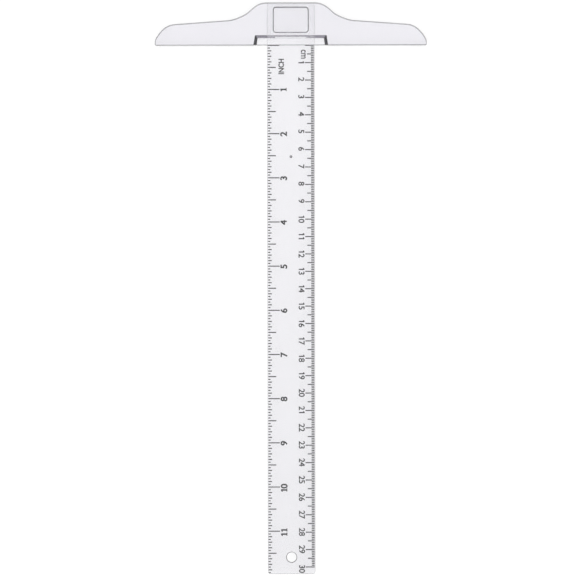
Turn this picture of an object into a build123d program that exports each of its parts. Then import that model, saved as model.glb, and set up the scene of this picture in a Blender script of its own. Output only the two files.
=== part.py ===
"""A clear plastic T-square with a 12 inch / 30 cm blade.

The head is a moulded stock with a slot right through it. The blade is a flat ruler that pushes
into the slot from the front until its root end is flush with the head's back edge.

Frame: X along the head, -Y along the blade towards its free end, +Z up. The origin lies on the
blade's centreline, at the head's working edge, which is also the zero of both scales, and in the
plane of the head's underside. Millimetres.
"""

import os

from build123d import *

# Head
HEAD_LENGTH = 156.2
HEAD_DEPTH = 24.5
LOWER_WALL = 2.2  # the fence that hangs below the blade
UPPER_WALL = 1.2
BACK_HALF_WIDTH = 13.9  # half the straight back edge of the hub
SHOULDER = (17.7, HEAD_DEPTH - 0.66)
HIP = (24.0, 19.4)  # where the hub's bulging side turns into its hollow side
HOLLOW = (29.2, 16.3)
WING_ROOT = (36.5, 14.3)
WING_END = (66.5, 12.15)
WING_TIP = (73.2, 9.45)
WING_TIP_LOW = (77.05, 4.8)
WING_TIP_Y = 1.0  # where the wing's end becomes square to the working edge
HEAD_EDGE_RADIUS = 0.4
HEAD_TIP_CORNER = 0.6

# Blade
BLADE_REACH = 304.0  # past the working edge: its end stands just short of the twelfth inch
BLADE_WIDTH = 27.2
BLADE_THICK = 1.9
BLADE_CORNER = 1.5
BLADE_EDGE_RADIUS = 0.2
SLOT_CLEARANCE = 0.1  # on each face and each edge of the blade
HANG_HOLE_RADIUS = 2.8
HANG_HOLE_FROM_END = 9.6
HANG_HOLE_RIM_RADIUS = 0.55

# Window through the upper wall, over the slot
WINDOW_WIDTH = 19.6
WINDOW_DEPTH = 14.0
WINDOW_CORNER = 1.4
WINDOW_FRONT_Y = 7.6
WINDOW_RIM_RADIUS = 0.75

# Relief under the slot's mouth, with sloping walls that open downwards
RELIEF_FRONT_HALF_WIDTH = 21.5
RELIEF_BACK_HALF_WIDTH = 20.6
RELIEF_BACK_Y = 5.95
RELIEF_TAPER = 39.0  # degrees from upright
RELIEF_EDGE_RADIUS = 0.5
LIP_WIDTH = 18.0  # the lip that carries the blade at the middle of the relief
LIP_THICK = 0.8
LIP_FRONT_Y = 4.3
LIP_BACK_Y = 4.95

# Round marks left by the moulds in the undersides: flat ones, and a funnel in the blade
MARK_RADIUS = 0.6
MARK_DEPTH = 0.12
HEAD_MARKS = ((-45.5, 8.8), (45.5, 5.3))
BLADE_MARK = (0, -300.5)
FUNNEL = (0, -64.0)
FUNNEL_RADIUS = 0.75
FUNNEL_BOTTOM_RADIUS = 0.2
FUNNEL_DEPTH = 0.55

# Printed scales: lines as (every so many steps, length), with the longest line first
INK_THICK = 0.05
INK_INSET = 0.35  # from the blade's edges to the outer ends of the lines
INCH_LINE_WIDTH = 0.58
MM_LINE_WIDTH = 0.58
INCH = 25.4
INCHES = 12
INCH_STEPS = 16
INCH_LINES = ((16, 7.0), (8, 4.9), (2, 2.4), (1, 1.6))
CENTIMETRES = 30
MM_STEPS = 10
MM_LINES = ((10, 5.5), (5, 4.25), (1, 2.05))

# Worked out from the sizes above
SLOT_HEIGHT = BLADE_THICK + 2 * SLOT_CLEARANCE
SLOT_WIDTH = BLADE_WIDTH + 2 * SLOT_CLEARANCE
SLOT_CEILING = LOWER_WALL + SLOT_HEIGHT
HEAD_THICK = SLOT_CEILING + UPPER_WALL
BLADE_BOTTOM = LOWER_WALL + SLOT_CLEARANCE
BLADE_TOP = BLADE_BOTTOM + BLADE_THICK
PAST = 4.0  # how far a cut runs past the face that it opens

os.makedirs("parts", exist_ok=True)


# Head: a flat bar with a hub in the middle and two tapering wings
with BuildPart() as head:
    with BuildSketch():
        with BuildLine():
            hub_back = Line((0, HEAD_DEPTH), (BACK_HALF_WIDTH, HEAD_DEPTH))
            bulge = Spline(hub_back @ 1, SHOULDER, HIP, tangents=((1, 0), (0.72, -0.69)))
            wing_slope = Vector(*WING_END) - Vector(*WING_ROOT)
            hollow_ends = (bulge % 1, wing_slope.normalized())
            hollow = Spline(bulge @ 1, HOLLOW, WING_ROOT, tangents=hollow_ends)
            wing = Line(hollow @ 1, WING_END)
            tip_end = (HEAD_LENGTH / 2, WING_TIP_Y)
            tip = Spline(wing @ 1, WING_TIP, WING_TIP_LOW, tip_end, tangents=(wing % 1, (0, -1)))
            Polyline(tip @ 1, (HEAD_LENGTH / 2, 0), (0, 0))
            mirror(about=Plane.YZ)
        make_face()
    extrude(amount=HEAD_THICK)
    fillet(edges().filter_by(Axis.Z).group_by(Axis.Y)[0], HEAD_TIP_CORNER)
    fillet(faces().filter_by(Axis.Z).edges(), HEAD_EDGE_RADIUS)

    # The slot runs right through, from the working edge to the back edge
    with BuildSketch(Plane.XZ.offset(PAST)):
        with Locations((0, LOWER_WALL + SLOT_HEIGHT / 2)):
            Rectangle(SLOT_WIDTH, SLOT_HEIGHT)
    extrude(amount=-(HEAD_DEPTH + 2 * PAST), mode=Mode.SUBTRACT)

    with BuildSketch(Plane.XY.offset(SLOT_CEILING - SLOT_HEIGHT / 2)):
        with Locations((0, WINDOW_FRONT_Y + WINDOW_DEPTH / 2)):
            RectangleRounded(WINDOW_WIDTH, WINDOW_DEPTH, WINDOW_CORNER)
    extrude(amount=HEAD_THICK, mode=Mode.SUBTRACT)
    window_rim = faces().sort_by(Axis.Z)[-1].inner_wires()[0].edges()
    fillet(window_rim, WINDOW_RIM_RADIUS)

    with BuildSketch():
        side_lean = (RELIEF_FRONT_HALF_WIDTH - RELIEF_BACK_HALF_WIDTH) / RELIEF_BACK_Y
        front_half_width = RELIEF_FRONT_HALF_WIDTH + side_lean * PAST
        Polygon(
            (-front_half_width, -PAST),
            (front_half_width, -PAST),
            (RELIEF_BACK_HALF_WIDTH, RELIEF_BACK_Y),
            (-RELIEF_BACK_HALF_WIDTH, RELIEF_BACK_Y),
            align=None,
        )
    extrude(amount=LOWER_WALL, taper=RELIEF_TAPER, mode=Mode.SUBTRACT)
    underside_edges = edges().group_by(Axis.Z)[0].filter_by(GeomType.LINE)
    relief_edges = underside_edges.filter_by(lambda edge: 1 < edge.center().Y < HEAD_DEPTH / 2)
    fillet(relief_edges, RELIEF_EDGE_RADIUS)

    # Under the blade's middle the relief's back wall is upright, below a thin lip
    with BuildSketch():
        with Locations((0, (LIP_FRONT_Y + LIP_BACK_Y) / 2)):
            Rectangle(LIP_WIDTH, LIP_BACK_Y - LIP_FRONT_Y)
    extrude(amount=LOWER_WALL - LIP_THICK, mode=Mode.SUBTRACT)
    with BuildSketch(Plane.XY.offset(LOWER_WALL - LIP_THICK)):
        with Locations((0, (LIP_FRONT_Y + RELIEF_BACK_Y) / 2)):
            Rectangle(LIP_WIDTH, RELIEF_BACK_Y - LIP_FRONT_Y)
    extrude(amount=LIP_THICK)

    with Locations(*HEAD_MARKS):
        Cylinder(MARK_RADIUS, 2 * MARK_DEPTH, mode=Mode.SUBTRACT)
head.part.label = "head"
export_step(head.part, "parts/head.step")


# Blade: a flat ruler with rounded corners and a hang hole
with BuildPart() as blade:
    with BuildSketch(Plane.XY.offset(BLADE_BOTTOM)):
        with Locations((0, (HEAD_DEPTH - BLADE_REACH) / 2)):
            RectangleRounded(BLADE_WIDTH, BLADE_REACH + HEAD_DEPTH, BLADE_CORNER)
        with Locations((0, HANG_HOLE_FROM_END - BLADE_REACH)):
            Circle(HANG_HOLE_RADIUS, mode=Mode.SUBTRACT)
    extrude(amount=BLADE_THICK)
    rims = faces().filter_by(Axis.Z).edges()
    hole_rims = rims.filter_by(lambda edge: edge.geom_type == GeomType.CIRCLE and edge.is_closed)
    fillet(rims - hole_rims, BLADE_EDGE_RADIUS)
    fillet(hole_rims, HANG_HOLE_RIM_RADIUS)
    with Locations((*BLADE_MARK, BLADE_BOTTOM)):
        Cylinder(MARK_RADIUS, 2 * MARK_DEPTH, mode=Mode.SUBTRACT)
    with Locations((*FUNNEL, BLADE_BOTTOM + FUNNEL_DEPTH / 2)):
        Cone(FUNNEL_RADIUS, FUNNEL_BOTTOM_RADIUS, FUNNEL_DEPTH, mode=Mode.SUBTRACT)
blade.part.label = "blade"
export_step(blade.part, "parts/blade.step")


def line_length(step, lines):
    """The length of line number step: the first pair whose interval the step falls on."""
    return next(length for every, length in lines if step % every == 0)


def scale_lines(side, steps, pitch, lines, width):
    """Draws one scale's lines, inwards from the blade's edge on that side (-1 left, 1 right)."""
    edge = BLADE_WIDTH / 2
    start = edge - INK_INSET
    for _, length in lines:
        x = side * (start + edge - length) / 2
        with Locations(*[(x, -n * pitch) for n in range(steps) if line_length(n, lines) == length]):
            Rectangle(start - edge + length, width)


# The last sixteenth is cut short by the blade's round corner, and the twelfth inch is past its end
with BuildPart() as inch_scale:
    with BuildSketch(Plane.XY.offset(BLADE_TOP)):
        scale_lines(-1, INCHES * INCH_STEPS, INCH / INCH_STEPS, INCH_LINES, INCH_LINE_WIDTH)
        with Locations((0, (HEAD_DEPTH - BLADE_REACH) / 2)):
            RectangleRounded(
                BLADE_WIDTH - 2 * INK_INSET,
                BLADE_REACH + HEAD_DEPTH - 2 * INK_INSET,
                BLADE_CORNER - INK_INSET,
                mode=Mode.INTERSECT,
            )
    extrude(amount=INK_THICK)
inch_scale.part.label = "inch_scale"
export_step(inch_scale.part, "parts/inch_scale.step")

with BuildPart() as centimetre_scale:
    with BuildSketch(Plane.XY.offset(BLADE_TOP)):
        scale_lines(1, CENTIMETRES * MM_STEPS + 1, 1.0, MM_LINES, MM_LINE_WIDTH)
    extrude(amount=INK_THICK)
centimetre_scale.part.label = "centimetre_scale"
export_step(centimetre_scale.part, "parts/centimetre_scale.step")
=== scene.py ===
"""The looks of the clear plastic T-square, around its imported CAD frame. Metres, in the row frame."""

import math

import bpy
from mathutils import Matrix, Vector


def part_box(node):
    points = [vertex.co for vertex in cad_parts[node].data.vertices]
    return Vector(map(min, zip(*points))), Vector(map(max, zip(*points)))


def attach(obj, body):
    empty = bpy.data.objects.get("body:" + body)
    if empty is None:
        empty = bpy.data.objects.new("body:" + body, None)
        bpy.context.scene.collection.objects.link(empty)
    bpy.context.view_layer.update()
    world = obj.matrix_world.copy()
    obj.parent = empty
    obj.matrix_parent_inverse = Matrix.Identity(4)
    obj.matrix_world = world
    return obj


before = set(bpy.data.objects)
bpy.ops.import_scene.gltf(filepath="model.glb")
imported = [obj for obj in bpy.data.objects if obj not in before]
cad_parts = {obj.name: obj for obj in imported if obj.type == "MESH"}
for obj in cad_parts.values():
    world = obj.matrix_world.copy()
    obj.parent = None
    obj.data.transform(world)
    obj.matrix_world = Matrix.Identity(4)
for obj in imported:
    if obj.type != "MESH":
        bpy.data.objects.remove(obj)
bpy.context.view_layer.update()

MM = 0.001
INCH = 25.4 * MM
CENTIMETRE = 10 * MM

blade_low, blade_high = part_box("blade")
blade_low, blade_high = Vector(blade_low), Vector(blade_high)
ink_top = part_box("inch_scale")[1][2]
BLADE_TOP = blade_high.z
INK_THICK = ink_top - BLADE_TOP


# ---------------------------------------------------------------- materials

PLASTIC_IOR = 1.52
TINT_DEPTH = 10 * MM  # the depth of plastic that a tint is given for
DENSITY_MARGIN = 1.25  # keeps the absorbing colour above 0 in its darkest channel
HEAD_TINT = (0.685, 0.674, 0.725)
BLADE_TINT = (0.42, 0.41, 0.47)
HEAD_WAVE = 0.15
BLADE_WAVE = 0.1
# Painted shade: the blade's colour at its free end, for light that falls off along it
BLADE_END_PAINTED_SHADE = 0.94

# By how level a face is, from upright at 0 to level at 1: the painted shade that darkens rims and
# side walls through the plastic's colour, and the face's least roughness
PAINTED_EDGE_SHADES = ((0.0, 1.0), (0.12, 0.7), (0.25, 0.01), (0.88, 0.01), (0.99, 1.0))
EDGE_ROUGHNESS = ((0.10, 0.06), (0.35, 0.28), (0.75, 0.28), (0.95, 0.0))

# Smudges, as a range of noise and the roughness that it becomes
SMUDGE_NOISE = (0.35, 0.75)
SMUDGE_ROUGHNESS = (0.02, 0.09)

INK_BLACK = (0.018, 0.018, 0.020, 1)
INK_GREY = (0.045, 0.045, 0.048, 1)
INK_ROUGHNESS = 0.55

FLOOR_GREY = (0.25, 0.25, 0.25, 1)
FLOOR_ROUGHNESS = 0.9
FLOOR_GLOW = 0.75


def new_material(name):
    """A node material and its Principled shader."""
    material = bpy.data.materials.new(name)
    material.use_nodes = True
    return material, material.node_tree, material.node_tree.nodes["Principled BSDF"]


def add(tree, kind, **values):
    """A node with its inputs or properties set."""
    node = tree.nodes.new(kind)
    for key, value in values.items():
        if key in node.inputs:
            node.inputs[key].default_value = value
        else:
            setattr(node, key, value)
    return node


def ramp(tree, stops):
    """A colour ramp of greys from (position, grey) stops."""
    node = add(tree, "ShaderNodeValToRGB")
    elements = node.color_ramp.elements
    while len(elements) < len(stops):
        elements.new(0.5)
    for element, (position, grey) in zip(elements, stops):
        element.position = position
        element.color = (grey, grey, grey, 1)
    return node


def map_range(tree, value, source, target):
    """A socket's value, moved from the source range to the target range."""
    node = add(tree, "ShaderNodeMapRange")
    for socket, limit in zip(("From Min", "From Max", "To Min", "To Max"), source + target):
        node.inputs[socket].default_value = limit
    tree.links.new(value, node.inputs["Value"])
    return node.outputs["Result"]


def calculate(tree, operation, *values):
    """The result of an operation on one or two sockets' values."""
    node = add(tree, "ShaderNodeMath", operation=operation)
    for i, value in enumerate(values):
        tree.links.new(value, node.inputs[i])
    return node.outputs["Value"]


def dull_along_blade(tree, place, shade, painted_end_shade):
    """A painted shade for light that falls off along the blade: shade multiplied by 1 at the blade's
    root, and evenly less up to its free end.
    """
    spot = add(tree, "ShaderNodeSeparateXYZ")
    tree.links.new(place.outputs["Object"], spot.inputs["Vector"])
    painted_falloff = map_range(tree, spot.outputs["Y"], (blade_low.y, blade_high.y), (painted_end_shade, 1.0))
    return calculate(tree, "MULTIPLY", shade, painted_falloff)


def absorb(tree, kept):
    """Fills the material with a tint: kept is what TINT_DEPTH of it lets through, by channel."""
    losses = [-math.log(share) / TINT_DEPTH for share in kept]
    density = DENSITY_MARGIN * max(losses)
    passed = [1 - loss / density for loss in losses]
    depth = add(tree, "ShaderNodeVolumeAbsorption", Color=(*passed, 1), Density=density)
    tree.links.new(depth.outputs["Volume"], tree.nodes["Material Output"].inputs["Volume"])


def clear_plastic(name, kept, wave, painted_end_shade):
    """Clear moulded plastic: a faint flow waviness and soft smudges. kept is the share of red,
    green and blue light that gets through TINT_DEPTH of it. Where painted_end_shade is below 1, a
    painted shade darkens the plastic evenly along the blade, from its root to painted_end_shade at
    its free end, for light that falls off along it. Rims and side walls get a painted shade by how
    they slope."""
    material, tree, shader = new_material(name)
    link = tree.links.new
    shader.inputs["Transmission Weight"].default_value = 1.0
    shader.inputs["IOR"].default_value = PLASTIC_IOR
    place = add(tree, "ShaderNodeTexCoord")

    # Painted shade: the material's colour darkens rims and side walls by how they slope, and the
    # material roughens them, on top of what refraction does to them
    surface = add(tree, "ShaderNodeNewGeometry")
    facing = add(tree, "ShaderNodeSeparateXYZ")
    link(surface.outputs["Normal"], facing.inputs["Vector"])
    level = calculate(tree, "ABSOLUTE", facing.outputs["Z"])
    edge = ramp(tree, PAINTED_EDGE_SHADES)
    link(level, edge.inputs["Fac"])
    shade = edge.outputs["Color"]
    # Painted shade, darker towards the blade's free end, for light that falls off along it
    if painted_end_shade < 1:
        shade = dull_along_blade(tree, place, shade, painted_end_shade)
    link(shade, shader.inputs["Base Color"])

    absorb(tree, kept)

    smudge = add(tree, "ShaderNodeTexNoise", Scale=60.0, Detail=4.0, Roughness=0.6)
    link(place.outputs["Object"], smudge.inputs["Vector"])
    polish = map_range(tree, smudge.outputs["Fac"], SMUDGE_NOISE, SMUDGE_ROUGHNESS)
    matt = ramp(tree, EDGE_ROUGHNESS)
    link(level, matt.inputs["Fac"])
    rough = calculate(tree, "MAXIMUM", polish, matt.outputs["Color"])
    link(rough, shader.inputs["Roughness"])

    flow = add(tree, "ShaderNodeTexNoise", Scale=35.0, Detail=1.0)
    link(place.outputs["Object"], flow.inputs["Vector"])
    bump = add(tree, "ShaderNodeBump", Strength=wave, Distance=0.0002)
    link(flow.outputs["Fac"], bump.inputs["Height"])
    link(bump.outputs["Normal"], shader.inputs["Normal"])
    return material


def ink(name):
    """Black screen ink: matte, with an uneven grey where it went on thin."""
    material, tree, shader = new_material(name)
    link = tree.links.new
    place = add(tree, "ShaderNodeTexCoord")
    patch = add(tree, "ShaderNodeTexNoise", Scale=900.0, Detail=3.0)
    link(place.outputs["Object"], patch.inputs["Vector"])
    shade = add(tree, "ShaderNodeValToRGB")
    shade.color_ramp.elements[0].color = INK_BLACK
    shade.color_ramp.elements[1].color = INK_GREY
    link(patch.outputs["Fac"], shade.inputs["Fac"])
    link(shade.outputs["Color"], shader.inputs["Base Color"])
    shader.inputs["Roughness"].default_value = INK_ROUGHNESS
    return material


def floor_paint(name):
    """A plain white floor, lit a little from below like a light table, which keeps shadows soft."""
    material, _, shader = new_material(name)
    shader.inputs["Base Color"].default_value = FLOOR_GREY
    shader.inputs["Roughness"].default_value = FLOOR_ROUGHNESS
    shader.inputs["Specular IOR Level"].default_value = 0.0
    shader.inputs["Emission Color"].default_value = (1, 1, 1, 1)
    shader.inputs["Emission Strength"].default_value = FLOOR_GLOW
    return material


HEAD_PLASTIC = clear_plastic("head_plastic", HEAD_TINT, HEAD_WAVE, 1.0)
BLADE_PLASTIC = clear_plastic("blade_plastic", BLADE_TINT, BLADE_WAVE, BLADE_END_PAINTED_SHADE)
INK = ink("ink")


def paint(node, material):
    """Gives a CAD node its material."""
    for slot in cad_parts[node].material_slots:
        slot.material = material


paint("head", HEAD_PLASTIC)
paint("blade", BLADE_PLASTIC)
paint("inch_scale", INK)
paint("centimetre_scale", INK)


# ---------------------------------------------------------------- printed numbers

INCH_NUMBERS = range(1, 12)
LAST_CENTIMETRE = 30
LEFT_READ = math.radians(90)
RIGHT_READ = math.radians(-90)

# In font units
CAP_HEIGHT = 0.69
FOUR_BOLDEST = 0.022

# from_edge is the distance of a number's foot from the blade's edge on its side, and width is how
# far its figures are stretched sideways. bold, the offset of their outlines, and advance, their
# spacing, are in font units. foot says whether a 1 has a foot.
INCH_NUMERALS = {
    "height": 3.6 * MM,
    "from_edge": 11.15 * MM,
    "width": 1.05,
    "bold": 0.03,
    "advance": 0.44,
    "foot": True,
}
CM_NUMERALS = {
    "height": 3.25 * MM,
    "from_edge": 9.25 * MM,
    "width": 1.03,
    "bold": 0.019,
    "advance": 0.48,
    "foot": False,
}

# Where a number's middle is along the blade, from its line: above 0 is towards the head
ONE_FIGURE_INCH_SHIFT = -0.2 * MM
TWO_FIGURE_INCH_SHIFT = -0.7 * MM
CM_SHIFT = 0.15 * MM
TWO_TO_NINE_CM_SHIFT = 0.4 * MM
LAST_CM_SHIFT = -1.1 * MM

# The unit marks, in the same terms, and where their middles are along the blade
INCH_NAME = {"bold": 0.03, "height": 2.9 * MM, "width": 0.88, "from_edge": 9.5 * MM}
INCH_NAME_Y = -12.2 * MM
CM_NAME = {"bold": 0.015, "height": 3.9 * MM, "width": 0.8, "from_edge": 7.7 * MM}
CM_NAME_Y = -5.15 * MM


def letters_mesh(text, bold):
    """The outline of a text as a flat mesh in font units, with its foot at y = 0 and its middle
    at x = 0."""
    curve = bpy.data.curves.new("letters", "FONT")
    curve.body = text
    curve.offset = bold
    curve.align_x = "CENTER"
    curve.resolution_u = 6
    holder = bpy.data.objects.new("letters", curve)
    bpy.context.scene.collection.objects.link(holder)
    bpy.context.view_layer.update()
    solved = holder.evaluated_get(bpy.context.evaluated_depsgraph_get())
    mesh = bpy.data.meshes.new_from_object(solved)
    bpy.data.objects.remove(holder)
    bpy.data.curves.remove(curve)
    return mesh


def flat_mesh(corners, faces):
    """A flat mesh from its corners and the corner numbers of its faces."""
    mesh = bpy.data.meshes.new("flat")
    mesh.from_pydata([(x, y, 0) for x, y in corners], [], faces)
    return mesh


def one_mesh(bold, foot):
    """A figure 1 with a flag and, if wanted, a foot: the built-in font's 1 is a plain bar."""
    left, right = -0.01 - bold, 0.09 + bold
    flag_left = -0.12 - bold
    flag_high, flag_low = CAP_HEIGHT - 0.08, 0.52 - bold
    flag_root = flag_low + 0.04
    outline = [
        (right, CAP_HEIGHT),
        (left, CAP_HEIGHT),
        (flag_left, flag_high),
        (flag_left, flag_low),
        (left, flag_root),
    ]
    if foot:
        foot_left, foot_right = -0.10 - bold, 0.18 + bold
        foot_high = 0.06 + bold
        outline += [(left, foot_high), (foot_left, foot_high), (foot_left, 0)]
        outline += [(foot_right, 0), (foot_right, foot_high), (right, foot_high)]
    else:
        outline += [(left, 0), (right, 0)]
    return flat_mesh(outline, [range(len(outline))])


def four_mesh(bold):
    """A figure 4 with an open counter: the built-in font's 4 closes when it is made bolder."""
    left, right = -0.24 - bold, 0.22 + bold
    stem_left, stem_right = 0.05 - bold, 0.15 + bold
    bar_low, bar_high = 0.22 - bold, 0.31 + bold
    # The counter's sharp corners draw in faster than the strokes' sides
    counter_left = -0.11 + 2.1 * bold
    counter_top = 0.51 - 2.8 * bold
    corners = [
        (stem_left, 0),
        (stem_right, 0),
        (stem_right, bar_low),
        (stem_right, bar_high),
        (stem_right, CAP_HEIGHT),
        (stem_left, CAP_HEIGHT),
        (stem_left, counter_top),
        (stem_left, bar_high),
        (stem_left, bar_low),
        (right, bar_low),
        (right, bar_high),
        (left, bar_low),
        (left, bar_high),
        (counter_left, bar_high),
    ]
    stem = range(9)
    right_bar = (2, 9, 10, 3)
    left_bar = (11, 8, 7, 13, 12)
    slant = (12, 13, 6, 5)
    return flat_mesh(corners, [stem, right_bar, left_bar, slant])


def nine_mesh(bold):
    """A figure 9, a 6 turned over: the built-in font's 9 loses its tail when made bolder."""
    mesh = letters_mesh("6", bold)
    turned_over = Matrix.Translation((0, CAP_HEIGHT, 0)) @ Matrix.Rotation(math.pi, 4, "Z")
    mesh.transform(turned_over)
    return mesh


def digit_mesh(digit, style):
    """One figure, centred on x = 0."""
    if digit == "1":
        return one_mesh(style["bold"], style["foot"])
    if digit == "4":
        return four_mesh(min(style["bold"], FOUR_BOLDEST))
    if digit == "9":
        return nine_mesh(style["bold"])
    return letters_mesh(digit, style["bold"])


def figures(number, style):
    """The flat meshes of a number's figures and their places along the line, in font units."""
    text = str(number)
    advance = style["advance"]
    first = -advance * (len(text) - 1) / 2
    return [(digit_mesh(digit, style), first + i * advance) for i, digit in enumerate(text)]


def print_labels(name, labels):
    """One printed piece on the blade's face, from (meshes, foot, turn, height, width) labels."""
    vertices, faces = [], []
    for meshes, foot, turn, height, width in labels:
        size = height / CAP_HEIGHT
        place = (
            Matrix.Translation(foot)
            @ Matrix.Rotation(turn, 4, "Z")
            @ Matrix.Diagonal((size * width, size, 1, 1))
        )
        for figure, along in meshes:
            start = len(vertices)
            vertices += [place @ (v.co + Vector((along, 0, 0))) for v in figure.vertices]
            faces += [[start + i for i in p.vertices] for p in figure.polygons]
            bpy.data.meshes.remove(figure)
    mesh = bpy.data.meshes.new(name)
    mesh.from_pydata(vertices, [], faces)
    mesh.materials.append(INK)
    piece = bpy.data.objects.new(name, mesh)
    bpy.context.scene.collection.objects.link(piece)
    thick = piece.modifiers.new("ink", "SOLIDIFY")
    thick.thickness = INK_THICK
    thick.offset = 1
    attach(piece, "blade")


def left_label(meshes, style, y):
    """A label that reads from the blade's left edge."""
    foot = Vector((blade_low.x + style["from_edge"], y, BLADE_TOP))
    return meshes, foot, LEFT_READ, style["height"], style["width"]


def right_label(meshes, style, y):
    """A label that reads from the blade's right edge."""
    foot = Vector((blade_high.x - style["from_edge"], y, BLADE_TOP))
    return meshes, foot, RIGHT_READ, style["height"], style["width"]


def inch_label(number):
    """An inch number, a little further from the head than its line."""
    shift = ONE_FIGURE_INCH_SHIFT if number < 10 else TWO_FIGURE_INCH_SHIFT
    return left_label(figures(number, INCH_NUMERALS), INCH_NUMERALS, -number * INCH + shift)


def cm_label(number):
    """A centimetre number, a little nearer the head than its line, except the last one."""
    shift = TWO_TO_NINE_CM_SHIFT if 1 < number < 10 else CM_SHIFT
    if number == LAST_CENTIMETRE:
        shift = LAST_CM_SHIFT
    return right_label(figures(number, CM_NUMERALS), CM_NUMERALS, -number * CENTIMETRE + shift)


print_labels("inch_numerals", [inch_label(n) for n in INCH_NUMBERS])
print_labels("centimetre_numerals", [cm_label(n) for n in range(1, LAST_CENTIMETRE + 1)])

inch_letters = [(letters_mesh("INCH", INCH_NAME["bold"]), 0)]
cm_letters = [(letters_mesh("cm", CM_NAME["bold"]), 0)]
units = [
    left_label(inch_letters, INCH_NAME, INCH_NAME_Y),
    right_label(cm_letters, CM_NAME, CM_NAME_Y),
]
print_labels("unit_names", units)


# ---------------------------------------------------------------- floor, light and camera

FLOOR_HALF = 4.0
FLOOR_DROP = 0.0002  # keeps the floor's face apart from the head's underside

# Greys of the sky by how high it is, from the horizon at 0 to straight up at 1
SKY_SHADES = ((0.05, 0.1), (0.85, 1.0))
SKY_STRENGTH = 1.6

KEY_PLACE = (-0.5, -1.6, 0.9)
KEY_SIZE = 0.8
KEY_WATTS = 9
KEY_TARGET = (0, -0.14, 0)  # about the blade's middle

LENS = 200  # millimetres
SENSOR = 36  # millimetres
VIEW_SIDE = 0.3312  # the side of the square that the camera sees at the blade's face
CAMERA_X = -0.00184
CAMERA_Y = -0.13957
CAMERA_TURN = -math.radians(0.1)
CLIP_END = 50


def place_floor():
    """A large level square just under the T-square."""
    signs = ((-1, -1), (1, -1), (1, 1), (-1, 1))
    corners = [(x * FLOOR_HALF, y * FLOOR_HALF, 0) for x, y in signs]
    floor_mesh = bpy.data.meshes.new("floor")
    floor_mesh.from_pydata(corners, [], [range(len(corners))])
    floor_mesh.materials.append(floor_paint("floor_paint"))
    floor = bpy.data.objects.new("floor", floor_mesh)
    bpy.context.scene.collection.objects.link(floor)
    floor.location.z = -FLOOR_DROP


def light_sky():
    """A soft dome that is bright overhead and dark near the horizon."""
    world = bpy.data.worlds.new("studio")
    bpy.context.scene.world = world
    world.use_nodes = True
    tree = world.node_tree
    sky = tree.nodes["Background"]
    direction = add(tree, "ShaderNodeTexCoord")
    parts = add(tree, "ShaderNodeSeparateXYZ")
    tree.links.new(direction.outputs["Generated"], parts.inputs["Vector"])
    dome = ramp(tree, SKY_SHADES)
    tree.links.new(parts.outputs["Z"], dome.inputs["Fac"])
    tree.links.new(dome.outputs["Color"], sky.inputs["Color"])
    sky.inputs["Strength"].default_value = SKY_STRENGTH


def place_key():
    """A square area light past the blade's free end."""
    light = bpy.data.lights.new("key", "AREA")
    light.size = KEY_SIZE
    light.energy = KEY_WATTS
    lamp = bpy.data.objects.new("key", light)
    bpy.context.scene.collection.objects.link(lamp)
    lamp.location = KEY_PLACE
    aim = Vector(KEY_TARGET) - Vector(KEY_PLACE)
    lamp.rotation_euler = aim.to_track_quat("-Z", "Y").to_euler()


def place_camera():
    """A camera straight above the T-square, turned by a tenth of a degree."""
    camera_data = bpy.data.cameras.new("camera")
    camera_data.lens = LENS
    camera_data.sensor_width = SENSOR
    camera_data.clip_end = CLIP_END
    camera = bpy.data.objects.new("camera", camera_data)
    bpy.context.scene.collection.objects.link(camera)
    camera.location = (CAMERA_X, CAMERA_Y, BLADE_TOP + VIEW_SIDE * LENS / SENSOR)
    camera.rotation_euler.z = CAMERA_TURN
    bpy.context.scene.camera = camera


place_floor()
light_sky()
place_key()
place_camera()

bpy.context.scene.view_settings.view_transform = "Standard"
# Blurring what diffuse surfaces see through clear plastic would darken the floor under it
bpy.context.scene.cycles.blur_glossy = 0
